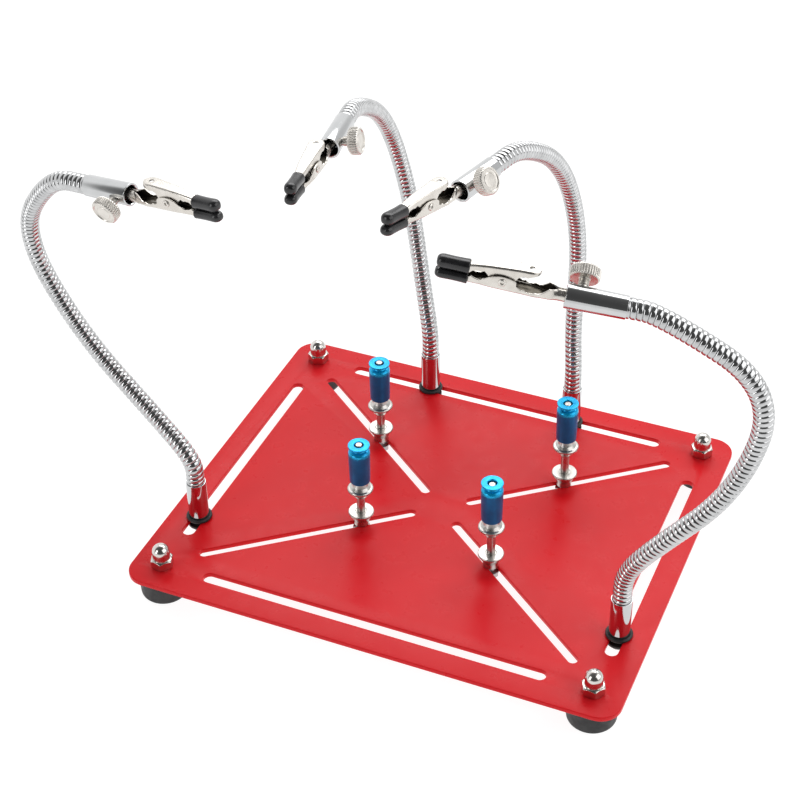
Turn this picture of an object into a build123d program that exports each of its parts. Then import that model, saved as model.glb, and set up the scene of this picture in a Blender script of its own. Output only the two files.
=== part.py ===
from build123d import *
import math
import os

os.makedirs("parts", exist_ok=True)

# ---------------------------------------------------------------- dimensions (mm)
# Origin: centre of the base plate, on the table top. +X right, +Y back, +Z up.

# base plate
plate_width = 200.0
plate_depth = 167.5
plate_thick = 2.0
plate_corner_r = 8.5
plate_edge_chamfer = 0.3
foot_height = 11.0
plate_bottom = foot_height
plate_top = foot_height + plate_thick

# slots
side_slot_x = 88.0
side_slot_tip = 52.9
side_slot_w = 5.1
end_slot_y = 71.6
end_slot_tip = 70.0
end_slot_w = 5.0
diag_angle = 38.15
diag_inner = 10.6
diag_outer = 98.7
diag_w = 3.9

# feet, their screws and the cap nuts
foot_x = 88.0
foot_y = 72.0
foot_r_top = 9.8
foot_r_bottom = 9.3
foot_edge_r = 1.8
foot_bore_r = 2.65
foot_counterbore_r = 4.9
foot_counterbore_h = 4.6
foot_screw_r = 2.4
foot_screw_head_r = 4.5
foot_screw_head_h = 2.7
nut_flats = 8.0
nut_hex_h = 3.9
nut_dome_r = 3.45
nut_total_h = 10.4
nut_bore_r = 2.45
nut_turn = {"front_left": 20.0, "front_right": 25.0, "back_left": 52.0, "back_right": 28.0}

# flexible arms
grommet_ring_r = 5.2
grommet_ring_inner_r = 4.35
grommet_ring_h = 1.8
grommet_floor_h = 0.7
grommet_neck_r = 2.25
grommet_washer_r = 4.8
grommet_washer_h = 1.2
grommet_bore_r = 1.6
clamp_screw_r = 1.5
clamp_screw_head_r = 3.3
clamp_screw_head_h = 2.2
clamp_screw_reach = 8.6
ferrule_r = 4.03
ferrule_bottom = 0.8
ferrule_top = 18.5
ferrule_bore_r = 1.56
ferrule_socket = 10.0
hose_r = 3.6
hose_inner_r = 2.2
hose_seat_r = 3.66
hose_start = 10.1
pivot_gap = 0.3
collar_len = 20.0
collar_r_mouth = 4.15
collar_r_hose = 3.98
collar_bore_r = 3.2
collar_bore_len = 13.0
collar_socket = 6.0
thumb_from_mouth = 5.0
thumb_r = 1.5
thumb_hole_r = 1.56
thumb_head_r = 5.1
thumb_head_h = 4.0
thumb_head_start = 6.9
thumb_teeth = 36
thumb_neck_r = 1.8
thumb_tip = {"front_left": 2.7, "back_left": 2.1, "back_right": 2.2, "front_right": 2.7}

# arm centrelines: corner points of the bent hose, x, y and height over the plate
arm_points = {
    "front_left": [(-88.0, -41.3, 0.0), (-88.0, -41.3, 29.3), (-104.8, -35.8, 40.0), (-140.7, -29.7, 69.5), (-160.9, -29.5, 112.3), (-136.5, -39.2, 146.2), (-98.1, -46.2, 151.2)],
    "back_left": [(-33.6, 71.6, 0.0), (-33.6, 71.6, 30.1), (-38.6, 77.0, 46.1), (-49.7, 88.9, 86.9), (-55.2, 77.8, 128.3), (-50.2, 39.1, 153.2), (-45.3, 4.9, 153.4)],
    "back_right": [(30.8, 71.6, 0.0), (30.8, 71.6, 29.2), (27.7, 77.6, 45.7), (27.7, 81.2, 89.6), (24.4, 63.4, 131.4), (18.9, 30.7, 154.0), (9.76, -6.06, 153.9)],
    "front_right": [(88.0, -41.3, 0.0), (88.0, -41.3, 30.2), (96.6, -45.1, 47.3), (124.6, -40.8, 81.0), (133.5, -39.9, 126.2), (93.9, -45.2, 149.5), (64.3, -52.8, 154.2)],
}
# direction in which each clip points, and the thumb screw's turn about the collar from straight up
clip_dir = {"front_left": (0.961, -0.226, 0.159), "back_left": (0.121, -0.989, 0.083), "back_right": (-0.2535, -0.9585, 0.130), "front_right": (-0.955, -0.245, 0.170)}
# how far the thumb screw has pushed each clip's barrel off the collar's axis
clip_shift = {"front_left": (0.0, 0.0, 0.0), "back_left": (-0.66, -0.11, 0.15), "back_right": (-0.437, 0.109, 0.45), "front_right": (0.0, 0.0, 0.0)}
thumb_turn = {"front_left": 107.0, "back_left": 280.0, "back_right": 300.0, "front_right": 62.0}

# alligator clips: local x forward from the collar mouth, local z up
sheet = 0.5
clip_pivot = (20.6, 1.8)
clip_half_w = 3.3
nose_half_w = 1.8
rivet_r = 0.85
rivet_hole_r = 0.93
barrel_r = 2.2
barrel_len = 8.0
sleeve_start = 31.6
sleeve_end = 42.4
nose_end = 40.4
sleeve_half_w = 2.4

# board pillars
pillar_xy = {"front_left": (-25.9, -20.35), "back_left": (-39.7, 31.2), "back_right": (41.2, 32.35), "front_right": (30.55, -24.0)}
pillar_grip_z = {"front_left": 18.2, "back_left": 18.1, "back_right": 20.0, "front_right": 20.0}
pillar_foot_r = 3.05
pillar_flange_r = 5.1
pillar_flange_top = 6.6
shaft_r = 1.7
stud_r = 1.45
shaft_end = {"front_left": 40.4, "back_left": 40.4, "back_right": 41.6, "front_right": 41.3}
shaft_tip_r = 1.3
shaft_tip_len = 3.2
grip_bore_r = 1.78
grip_neck_r = 2.3
grip_cone_r = 2.2
grip_cone_h = 4.2
sleeve_r_bottom = 4.05
sleeve_r_top = 4.3
sleeve_len = 18.0


def put(name, solids):
    """Write one node, made of one or several separate solids."""
    solids = list(solids)
    shape = solids[0] if len(solids) == 1 else Compound(children=solids)
    shape.label = name
    export_step(shape, f"parts/{name}.step")


def one(shape):
    """The single solid of a shape."""
    found = shape.solids()
    return max(found, key=lambda s: s.volume)


def lathe(points, x=0.0, y=0.0, z=0.0):
    """A turned piece: radius and height pairs, closed along the axis."""
    face = make_face(Plane.XZ * Polyline(*[(r, h) for r, h in points], close=True))
    return Pos(x, y, z) * revolve(face, Axis.Z, 360)


def rod(r, z0, z1, x=0.0, y=0.0):
    return Pos(x, y, (z0 + z1) / 2) * Cylinder(r, z1 - z0)


def vec(p):
    return Vector(*p)


# ---------------------------------------------------------------- base plate
plate = extrude(RectangleRounded(plate_width, plate_depth, plate_corner_r), plate_thick)
plate = Pos(0, 0, plate_bottom) * plate
plate = chamfer(plate.edges().group_by(Axis.Z)[-1] + plate.edges().group_by(Axis.Z)[0], plate_edge_chamfer)
for s in (-1, 1):
    slot = Rot(0, 0, 90) * SlotOverall(2 * side_slot_tip, side_slot_w)
    plate -= Pos(s * side_slot_x, 0, plate_bottom - 1) * extrude(slot, plate_thick + 2)
    plate -= Pos(0, s * end_slot_y, plate_bottom - 1) * extrude(SlotOverall(2 * end_slot_tip, end_slot_w), plate_thick + 2)
mid = (diag_inner + diag_outer) / 2
for a in (diag_angle, 180 - diag_angle, 180 + diag_angle, -diag_angle):
    slot = Rot(0, 0, a) * Pos(mid, 0, 0) * SlotOverall(diag_outer - diag_inner, diag_w)
    plate -= Pos(0, 0, plate_bottom - 1) * extrude(slot, plate_thick + 2)
for sx in (-1, 1):
    for sy in (-1, 1):
        plate -= rod(foot_bore_r, plate_bottom - 1, plate_top + 1, sx * foot_x, sy * foot_y)
put("base_plate", [one(plate)])

# ---------------------------------------------------------------- feet and fasteners
corner = {"front_left": (-1, -1), "front_right": (1, -1), "back_left": (-1, 1), "back_right": (1, 1)}
feet, screws, nuts = [], [], []
for k, (sx, sy) in corner.items():
    x, y = sx * foot_x, sy * foot_y
    foot = lathe([(0, 0), (foot_r_bottom, 0), (foot_r_top, foot_height), (0, foot_height)], x, y)
    foot = fillet(foot.edges().group_by(Axis.Z)[0], foot_edge_r)
    foot -= rod(foot_bore_r, -1, foot_height + 1, x, y)
    foot -= rod(foot_counterbore_r, -1, foot_counterbore_h, x, y)
    feet.append(one(foot))
    head = lathe([(0, 0), (foot_screw_head_r - 1.0, 0), (foot_screw_head_r - 0.3, 0.6), (foot_screw_head_r, 1.4), (foot_screw_head_r, foot_screw_head_h), (0, foot_screw_head_h)], x, y, foot_counterbore_h - foot_screw_head_h)
    head += rod(foot_screw_r, foot_counterbore_h, plate_top + 7.4, x, y)
    head -= Pos(x, y, foot_counterbore_h - foot_screw_head_h) * extrude(RegularPolygon(1.75, 6), 1.6)
    screws.append(one(head))
    hexa = Rot(0, 0, nut_turn[k]) * extrude(RegularPolygon(nut_flats / 2, 6, major_radius=False), nut_hex_h)
    cone = lathe([(0, -1), (nut_flats / 2 + 0.75, -1), (nut_flats / 2 + 0.75, nut_hex_h - 0.35), (nut_flats / 2 - 0.15, nut_hex_h + 0.15), (0, nut_hex_h + 0.15)])
    cone2 = lathe([(0, 5), (nut_flats / 2 + 0.75, 5), (nut_flats / 2 + 0.75, 0.3), (nut_flats / 2 + 0.1, 0), (0, 0)])
    nut = hexa & cone & cone2
    nut += rod(nut_dome_r, nut_hex_h - 0.5, nut_total_h - nut_dome_r)
    nut += Pos(0, 0, nut_total_h - nut_dome_r) * Sphere(nut_dome_r)
    nut -= rod(nut_bore_r, -1, 8.2)
    nuts.append(one(Pos(x, y, plate_top) * nut))
put("rubber_feet", feet)
put("foot_screws", screws)
put("cap_nuts", nuts)


# ---------------------------------------------------------------- flexible arms
def run_radii(pts):
    """Bend radius at each corner: short of half of each run, with the ferrule, the pivot and the collar on straight runs."""
    n = len(pts)
    run = [(vec(pts[i + 1]) - vec(pts[i])).length for i in range(n - 1)]
    out = []
    for i in range(1, n - 1):
        a = (vec(pts[i]) - vec(pts[i - 1])).normalized()
        b = (vec(pts[i + 1]) - vec(pts[i])).normalized()
        turn = math.acos(max(-1.0, min(1.0, a.dot(b))))
        t = 0.45 * min(run[i - 1], run[i])
        if i == 1:
            t = min(0.45 * run[1], run[0] - ferrule_top)
        if i == n - 2:
            t = min(0.45 * run[i - 1], run[i] - 18.0)
        if i in (3, 4):
            t = min(t, run[3] / 2 - 3.6)
        out.append(t / math.tan(turn / 2))
    return out


def tube(path, r_out, r_in, at, direction):
    ring = Plane(origin=at, z_dir=direction) * (Circle(r_out) - Circle(r_in))
    return sweep(ring, path=path)


def frame_at(origin, forward, up=(0, 0, 1)):
    """A plane whose local x points forward and whose local z points up."""
    f = vec(forward).normalized()
    side = vec(up).cross(f).normalized()
    top = f.cross(side)
    return Plane(origin=origin, x_dir=f, z_dir=top)


def strip(points, half):
    """A side profile in local x and z, pulled out to both sides of the middle."""
    face = make_face(Plane.XZ * Polyline(*points, close=True))
    return extrude(face, half, both=True)


def plan(points, z0, z1):
    """A plan outline given on the left half, mirrored, between two heights."""
    pts = list(points) + [(x, -y) for x, y in reversed(points)]
    face = make_face(Polyline(*pts, close=True))
    return Pos(0, 0, z0) * extrude(face, z1 - z0)


def lower_jaw():
    bottom = [(2.4, -2.1), (8.0, -1.6), (14.0, -1.35), (24.0, -1.3), (27.8, -1.5), (31.8, -2.1), (nose_end, -2.2)]
    top = [(nose_end, 0.1), (31.5, 0.1), (30.8, 0.9), (29.7, 0.5), (27.8, 0.4), (27.0, 1.3), (26.2, 1.6), (25.0, 2.6), (23.6, 3.35), (22.0, 3.8), (20.4, 3.9), (18.6, 3.7), (17.1, 3.3), (16.2, 2.6), (16.0, 1.1), (14.4, 0.3), (13.4, 0.5), (12.6, -0.1), (10.6, -0.1), (9.8, 0.3), (8.6, 0.1), (7.4, 0.5), (6.2, 1.5), (5.4, 2.3), (3.3, 2.3), (2.4, 1.2)]
    outer = [(2.4, 2.2), (6.0, 2.5), (10.0, 3.3), (16.0, 3.35), (24.0, 3.25), (27.3, 2.7), (31.5, 1.8), (nose_end, 1.7)]
    inner = [(2.0, 2.2 - sheet), (6.1, 2.5 - sheet), (10.1, 3.3 - sheet), (16.0, 3.35 - sheet), (23.9, 3.25 - sheet), (27.2, 2.7 - sheet), (31.4, 1.8 - sheet), (nose_end + 1, 1.7 - sheet)]
    wall = strip(bottom + top, 6)
    ring = plan(outer, -6, 9) - plan(inner, -7, 10)
    floor = strip(bottom + [(x, z + sheet) for x, z in reversed(bottom)], 6) & plan(outer, -6, 9)
    jaw = (wall & ring) + floor
    tube_part = Cylinder(barrel_r, barrel_len + 3.0) - Cylinder(barrel_r - sheet, barrel_len + 5.0)
    jaw += Pos((3.0 - barrel_len) / 2, 0, 0) * Rot(0, 90, 0) * tube_part
    jaw -= Pos(5.6, 0, 3.0) * Box(6.0, 1.0, 3.0)
    px, pz = clip_pivot
    jaw -= Pos(px, 0, pz) * Rot(90, 0, 0) * Cylinder(rivet_r + 0.02, 20)
    return one(jaw)


def upper_jaw():
    top = [(9.0, 7.8), (14.0, 7.5), (20.6, 6.8), (26.0, 6.1), (30.0, 5.3), (32.8, 4.5), (nose_end, 4.3)]
    low = [(nose_end, 1.7), (31.7, 1.7), (31.1, 2.4), (30.3, 3.2), (28.8, 3.5), (27.9, 3.3), (26.8, 3.9), (25.6, 2.9), (24.6, 1.3), (23.0, 0.0), (20.6, -0.45), (18.4, 0.3), (17.1, 2.0), (16.4, 3.4), (15.7, 4.7), (14.4, 5.4), (13.0, 5.2), (11.6, 5.9), (9.0, 6.6)]
    outer = [(9.0, 1.1), (9.4, 2.0), (10.3, 2.7), (11.6, 3.0), (13.0, 3.0), (16.0, 2.72), (20.6, 2.5), (26.0, 2.2), (31.6, 1.75), (nose_end, 1.7)]
    inner = [(9.5, 0.7), (9.9, 1.7), (10.6, 2.25), (11.7, 2.5), (12.9, 2.5), (15.9, 2.72 - sheet), (20.5, 2.5 - sheet), (25.9, 2.2 - sheet), (31.5, 1.75 - sheet), (nose_end + 1, 1.7 - sheet)]
    wall = strip(top + low, 6)
    ring = plan(outer, -6, 12) - plan(inner, -7, 13)
    roof = strip(top + [(x, z - sheet) for x, z in reversed(top)], 6) & plan(outer, -6, 12)
    jaw = (wall & ring) + roof
    px, pz = clip_pivot
    jaw -= Pos(px, 0, pz) * Rot(90, 0, 0) * Cylinder(rivet_hole_r, 20)
    jaw -= Pos(12.2, 0, 7.5) * Cylinder(0.9, 4)
    return one(jaw)


def eyelet():
    px, pz = clip_pivot
    half = clip_half_w
    body = Cylinder(rivet_r, 2 * half + 0.02)
    body += Pos(0, 0, half + 0.15) * Cylinder(1.35, 0.3)
    body += Pos(0, 0, -half - 0.15) * Cylinder(1.35, 0.3)
    body -= Cylinder(0.5, 20)
    return one(Pos(px, 0, pz) * Rot(90, 0, 0) * body)


def torsion_spring():
    """Closed coil round the rivet, with one leg lying along the tail."""
    px, pz = clip_pivot
    wire = 0.27
    coil = None
    for i in range(-3, 4):
        turn = Pos(0, 0, i * 0.5) * Torus(1.45, wire)
        coil = turn if coil is None else coil + turn
    coil = Pos(px, 0, pz) * Rot(90, 0, 0) * coil
    leg = Pos(px - 4.4, 1.5, pz - 1.45) * Rot(0, 90, 0) * Cylinder(wire, 9.0)
    return one(coil + leg)


def tip_sleeve(z0, z1, n0, n1):
    """A dipped vinyl tip over one jaw's nose, flat where the two tips meet."""
    h = z1 - z0
    body = Pos((sleeve_start + sleeve_end) / 2, 0, (z0 + z1) / 2) * Box(sleeve_end - sleeve_start, 2 * sleeve_half_w, h)
    body = fillet(body.edges().filter_by(Axis.X), min(1.9, h / 2 - 0.15))
    tip = body.edges().filter_by(lambda e: abs(e.center().X - sleeve_end) < 1e-3)
    body = fillet(tip, 1.2)
    body -= strip([(sleeve_start - 1, n0), (nose_end + 0.1, n0), (nose_end + 0.1, n1), (sleeve_start - 1, n1)], nose_half_w + 0.1)
    return one(body)


def thumb_screw(tip):
    """Along local z, from the tip outwards; z is the distance from the collar's axis."""
    z0, z1 = thumb_head_start, thumb_head_start + thumb_head_h
    pts = []
    for i in range(thumb_teeth):
        for f, r in ((0.0, thumb_head_r - 0.32), (0.3, thumb_head_r), (0.7, thumb_head_r)):
            a = 2 * math.pi * (i + f) / thumb_teeth
            pts.append((r * math.cos(a), r * math.sin(a)))
    knurl = Pos(0, 0, z0) * extrude(make_face(Polyline(*pts, close=True)), thumb_head_h)
    trim = lathe([(0, z0), (thumb_head_r - 0.5, z0), (thumb_head_r + 0.1, z0 + 0.6), (thumb_head_r + 0.1, z1 - 0.6), (thumb_head_r - 0.5, z1), (0, z1)])
    screw = knurl & trim
    screw -= lathe([(0, z1 + 1), (thumb_head_r - 1.2, z1 + 1), (thumb_head_r - 1.2, z1), (thumb_head_r - 1.7, z1 - 0.7), (0, z1 - 0.7)])
    screw += lathe([(0, z1 - 0.71), (2.3, z1 - 0.71), (1.9, z1 - 0.35), (0, z1 - 0.3)])
    screw += lathe([(0, tip), (thumb_r - 0.4, tip), (thumb_r, tip + 0.4), (thumb_r, z0 - 2.3), (thumb_neck_r, z0 - 2.1), (thumb_neck_r, z0 + 0.1), (0, z0 + 0.1)])
    return one(screw)


for k, flat in arm_points.items():
    pts = [(x, y, z + plate_top) for x, y, z in flat]
    x0, y0, _ = pts[0]
    zt = plate_top

    # rubber grommet: ring round the ferrule's foot, neck in the slot, washer under the plate
    g = rod(grommet_ring_r, zt, zt + grommet_ring_h, x0, y0)
    g = fillet(g.edges().group_by(Axis.Z)[-1], 0.8)
    g -= rod(grommet_ring_inner_r, zt + grommet_floor_h, zt + 5, x0, y0)
    g += rod(grommet_neck_r, plate_bottom - 0.3, zt + 0.2, x0, y0)
    g += rod(grommet_washer_r, plate_bottom - grommet_washer_h, plate_bottom, x0, y0)
    g -= rod(grommet_bore_r, 0, zt + 6, x0, y0)
    put(f"{k}_grommet", [one(g)])

    zb = plate_bottom - grommet_washer_h
    c = rod(clamp_screw_head_r, zb - clamp_screw_head_h, zb, x0, y0)
    c = fillet(c.edges().group_by(Axis.Z)[0], 0.8)
    c += rod(clamp_screw_r, zb - 0.1, zt + clamp_screw_reach, x0, y0)
    cross = Pos(x0, y0, zb - clamp_screw_head_h) * Box(3.6, 0.9, 2.4) + Pos(x0, y0, zb - clamp_screw_head_h) * Box(0.9, 3.6, 2.4)
    c -= cross
    put(f"{k}_clamp_screw", [one(c)])

    f = lathe([(0, 0), (ferrule_r - 0.2, 0), (ferrule_r, 0.2), (ferrule_r, ferrule_top - ferrule_bottom - 0.3), (ferrule_r - 0.25, ferrule_top - ferrule_bottom), (0, ferrule_top - ferrule_bottom)], x0, y0, zt + ferrule_bottom)
    f -= rod(ferrule_bore_r, zt, zt + 12, x0, y0)
    f -= rod(hose_seat_r, zt + ferrule_socket, zt + 30, x0, y0)
    put(f"{k}_ferrule", [one(f)])

    # the hose, in two spans that meet at a ball joint on a straight run
    radii = run_radii(pts)
    a, b = vec(pts[3]), vec(pts[4])
    pivot = (a + b) * 0.5
    run3 = (b - a).length
    # the middle of what is straight between the two bends
    ta = radii[2] * math.tan(math.acos(max(-1, min(1, (a - vec(pts[2])).normalized().dot((b - a).normalized())))) / 2)
    tb = radii[3] * math.tan(math.acos(max(-1, min(1, (b - a).normalized().dot((vec(pts[5]) - b).normalized())))) / 2)
    pivot = a + (b - a).normalized() * ((ta + run3 - tb) / 2)
    start = (x0, y0, zt + hose_start)
    mouth = vec(pts[6])
    u = (mouth - vec(pts[5])).normalized()
    hose_end = mouth - u * (collar_len - collar_socket + 0.1)
    low_path = FilletPolyline(start, pts[1], pts[2], pts[3], tuple(pivot), radius=radii[:3])
    up_path = FilletPolyline(tuple(pivot), pts[4], pts[5], tuple(hose_end), radius=radii[3:])
    low = tube(low_path, hose_r, hose_inner_r, start, (0, 0, 1))
    low += Pos(*pivot) * Sphere(hose_r)
    put(f"{k}_hose_lower", [one(low)])
    up = tube(up_path, hose_r, hose_inner_r, tuple(pivot), tuple((b - a).normalized()))
    up -= Pos(*pivot) * Sphere(hose_r + pivot_gap)
    put(f"{k}_hose_upper", [one(up)])
    print(k, "pivot", tuple(round(v, 2) for v in pivot), "mouth", tuple(round(v, 2) for v in mouth), "u", tuple(round(v, 4) for v in u), "hose", round(low_path.length + up_path.length, 1), "radii", [round(r, 1) for r in radii])

    # collar, local z from the hose end to the mouth
    back_end = mouth - u * collar_len
    col = Solid.make_cone(collar_r_hose, collar_r_mouth, collar_len, Plane(origin=tuple(back_end), z_dir=tuple(u)))
    bore = Plane(origin=tuple(mouth), z_dir=tuple(u)) * Pos(0, 0, -collar_bore_len / 2 + 0.5) * Cylinder(collar_bore_r, collar_bore_len + 1)
    seat = Plane(origin=tuple(back_end), z_dir=tuple(u)) * Pos(0, 0, collar_socket / 2 - 0.5) * Cylinder(hose_seat_r, collar_socket + 1)
    up_dir = Vector(0, 0, 1) - u * u.Z
    e1 = up_dir.normalized()
    e2 = u.cross(e1)
    ang = math.radians(thumb_turn[k])
    d = e1 * math.cos(ang) + e2 * math.sin(ang)
    root = mouth - u * thumb_from_mouth
    screw_frame = Plane(origin=tuple(root), x_dir=tuple(u), z_dir=tuple(d))
    hole = screw_frame * Pos(0, 0, 5) * Cylinder(thumb_hole_r, 10)
    put(f"{k}_collar", [one(Part() + col - bore - seat - hole)])
    put(f"{k}_thumb_screw", [one(screw_frame * thumb_screw(thumb_tip[k]))])
    print("   thumb", tuple(round(v, 4) for v in d), "root", tuple(round(v, 2) for v in root))

    # the clip
    seat_at = mouth + vec(clip_shift[k])
    here = frame_at(tuple(seat_at), clip_dir[k])
    put(f"{k}_clip_lower_jaw", [one(here * s) for s in (lower_jaw(), eyelet(), torsion_spring())])
    put(f"{k}_clip_upper_jaw", [one(here * upper_jaw())])
    put(f"{k}_lower_tip_sleeve", [one(here * tip_sleeve(-2.95, 0.8, -2.3, 0.2))])
    put(f"{k}_upper_tip_sleeve", [one(here * tip_sleeve(1.1, 5.4, 1.6, 4.95))])
    pv = here.from_local_coords((clip_pivot[0], 0, clip_pivot[1]))
    print("   clip at", tuple(round(v, 3) for v in seat_at), "jaw pivot", tuple(round(v, 2) for v in pv), "side", tuple(round(v, 4) for v in here.y_dir), "tip", tuple(round(v, 2) for v in here.from_local_coords((sleeve_end, 0, 0.95))))

# ---------------------------------------------------------------- board pillars
for k, (x, y) in pillar_xy.items():
    zt = plate_top
    foot = lathe([(0, 0), (pillar_foot_r - 0.15, 0), (pillar_foot_r, 0.2), (pillar_foot_r, 2.5), (pillar_foot_r + 0.3, 2.8), (pillar_flange_r - 0.3, 5.4), (pillar_flange_r, 5.7), (pillar_flange_r, pillar_flange_top - 0.25), (pillar_flange_r - 0.25, pillar_flange_top), (2.3, pillar_flange_top), (2.15, pillar_flange_top - 0.3), (0, pillar_flange_top - 0.3)], x, y, zt)
    foot -= rod(stud_r + 0.03, zt - 1, zt + 8, x, y)
    shaft = rod(shaft_r, zt + pillar_flange_top - 0.3, zt + shaft_end[k] - shaft_tip_len, x, y)
    shaft = chamfer(shaft.edges().group_by(Axis.Z)[-1], 0.3)
    tip = rod(shaft_tip_r, zt + shaft_end[k] - shaft_tip_len - 0.1, zt + shaft_end[k], x, y)
    shaft += chamfer(tip.edges().group_by(Axis.Z)[-1], 0.2)
    shaft += rod(stud_r, plate_bottom - 4.2, zt + pillar_flange_top - 0.2, x, y)
    nut = Pos(x, y, plate_bottom - 2.9) * extrude(RegularPolygon(2.75, 6, major_radius=False), 2.4)
    nut += rod(3.5, plate_bottom - 0.5, plate_bottom, x, y)
    nut -= rod(stud_r + 0.03, 0, plate_bottom + 1, x, y)
    put(f"{k}_pillar_post", [one(foot), one(shaft), one(nut)])

    g = pillar_grip_z[k]
    flange = lathe([(0, g - grip_cone_h), (grip_cone_r, g - grip_cone_h), (pillar_flange_r - 0.3, g - 0.75), (pillar_flange_r, g - 0.45), (pillar_flange_r, g + 0.15), (pillar_flange_r - 0.35, g + 0.5), (4.0, g + 0.75), (3.2, g + 1.5), (grip_neck_r + 0.25, g + 2.6), (grip_neck_r, g + 3.6), (grip_neck_r, g + 4.0), (0, g + 4.0)], x, y, zt)
    flange -= rod(grip_bore_r, zt, zt + 60, x, y)
    put(f"{k}_grip_flange", [one(flange)])

    s = g + 4.0
    e = s + sleeve_len
    sleeve = lathe([(0, s), (sleeve_r_bottom - 0.3, s), (sleeve_r_bottom, s + 0.3), (sleeve_r_top, e - 4.4), (sleeve_r_top, e - 3.9), (sleeve_r_top - 0.08, e - 3.3), (sleeve_r_top - 0.3, e - 2.85), (3.5, e - 2.5), (2.85, e - 2.25), (2.6, e - 1.95), (2.65, e - 1.3), (3.0, e - 1.0), (sleeve_r_top - 0.2, e - 0.62), (sleeve_r_top, e - 0.48), (sleeve_r_top, e - 0.12), (sleeve_r_top - 0.12, e), (0, e)], x, y, zt)
    sleeve -= rod(grip_bore_r, zt, zt + 80, x, y)
    sleeve -= lathe([(0, e - 0.6), (grip_bore_r, e - 0.6), (1.95, e), (2.1, e + 0.5), (0, e + 0.5)], x, y, zt)
    put(f"{k}_grip_sleeve", [one(sleeve)])

print("nodes", len([n for n in os.listdir("parts") if n.endswith(".step")]))
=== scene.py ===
import bpy, bmesh, math, random
import numpy as np
from mathutils import Vector, Matrix, Quaternion
from mathutils.noise import noise as pnoise


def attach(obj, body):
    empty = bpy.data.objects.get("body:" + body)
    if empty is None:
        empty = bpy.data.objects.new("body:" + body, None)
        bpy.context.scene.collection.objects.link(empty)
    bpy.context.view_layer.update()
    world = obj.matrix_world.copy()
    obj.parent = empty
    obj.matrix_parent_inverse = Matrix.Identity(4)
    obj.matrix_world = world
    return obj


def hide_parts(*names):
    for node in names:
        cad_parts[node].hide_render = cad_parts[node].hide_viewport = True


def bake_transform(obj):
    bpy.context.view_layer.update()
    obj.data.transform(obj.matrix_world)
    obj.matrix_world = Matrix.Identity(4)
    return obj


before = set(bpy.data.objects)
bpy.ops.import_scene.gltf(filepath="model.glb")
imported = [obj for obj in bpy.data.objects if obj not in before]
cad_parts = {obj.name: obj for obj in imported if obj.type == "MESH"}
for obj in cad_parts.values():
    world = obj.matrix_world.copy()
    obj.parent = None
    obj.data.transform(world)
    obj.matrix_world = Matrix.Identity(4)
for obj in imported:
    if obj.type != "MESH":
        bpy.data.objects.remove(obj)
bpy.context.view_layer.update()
MM = 0.001
scene = bpy.context.scene
PLATE_TOP = 13.0
PLATE_BOTTOM = 11.0
ARMS = ("front_left", "back_left", "back_right", "front_right")


# ------------------------------------------------------------------ helpers
def link(o):
    scene.collection.objects.link(o)
    return o


def mesh_obj(name, verts, faces, mat=None, smooth=True, sharp=35.0):
    me = bpy.data.meshes.new(name)
    me.from_pydata([tuple(v) for v in verts], [], faces)
    me.validate()
    me.update()
    o = link(bpy.data.objects.new(name, me))
    if mat:
        me.materials.append(mat)
    finish_shading(me, smooth, sharp)
    return o


def finish_shading(me, smooth=True, sharp=35.0):
    me.polygons.foreach_set("use_smooth", [smooth] * len(me.polygons))
    if smooth:
        me.set_sharp_from_angle(angle=math.radians(sharp))
    me.update()


def rounded(points, radii, n=4):
    """Rounds the corners of an open r, z profile. radii: one number or one for each point."""
    if isinstance(radii, (int, float)):
        radii = [radii] * len(points)
    out = [points[0]]
    for i in range(1, len(points) - 1):
        p, a, b = Vector(points[i]), Vector(points[i - 1]), Vector(points[i + 1])
        la, lb = (a - p).length, (b - p).length
        r = radii[i]
        if r <= 0 or la < 1e-6 or lb < 1e-6:
            out.append(points[i])
            continue
        ua, ub = (a - p) / la, (b - p) / lb
        ang = math.acos(max(-1, min(1, ua.dot(ub))))
        if ang > math.radians(176):
            out.append(points[i])
            continue
        t = min(r / math.tan(ang / 2), 0.48 * la, 0.48 * lb)
        A, B = p + ua * t, p + ub * t
        for k in range(n + 1):
            f = k / n
            q = A * (1 - f) ** 2 + p * 2 * f * (1 - f) + B * f * f
            out.append((q.x, q.y))
    out.append(points[-1])
    return out


def lathe_data(profile, seg=96, place=None):
    """Verts and faces of a turned surface from an open r, z profile in mm. place: 4x4 in mm."""
    verts, faces, rings = [], [], []
    for r, z in profile:
        if r < 1e-5:
            rings.append([len(verts)])
            verts.append(Vector((0, 0, z)))
        else:
            rings.append(list(range(len(verts), len(verts) + seg)))
            for j in range(seg):
                a = 2 * math.pi * j / seg
                verts.append(Vector((r * math.cos(a), r * math.sin(a), z)))
    for p, q in zip(rings, rings[1:]):
        if len(p) == 1 and len(q) == 1:
            continue
        for j in range(seg):
            k = (j + 1) % seg
            if len(p) == 1:
                faces.append((p[0], q[k], q[j]))
            elif len(q) == 1:
                faces.append((p[j], p[k], q[0]))
            else:
                faces.append((p[j], p[k], q[k], q[j]))
    if place is not None:
        verts = [place @ v for v in verts]
    return [v * MM for v in verts], faces


def join_data(parts):
    verts, faces = [], []
    for v, f in parts:
        n = len(verts)
        verts += list(v)
        faces += [tuple(i + n for i in t) for t in f]
    return verts, faces


def outward(o):
    """Faces look outwards."""
    bm = bmesh.new()
    bm.from_mesh(o.data)
    bmesh.ops.recalc_face_normals(bm, faces=bm.faces)
    bm.to_mesh(o.data)
    bm.free()


def apply_mods(o):
    dg = bpy.context.evaluated_depsgraph_get()
    dg.update()
    me = bpy.data.meshes.new_from_object(o.evaluated_get(dg))
    old = o.data
    o.modifiers.clear()
    o.data = me
    me.name = o.name
    if old.users == 0:
        bpy.data.meshes.remove(old)
    return o


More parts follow.
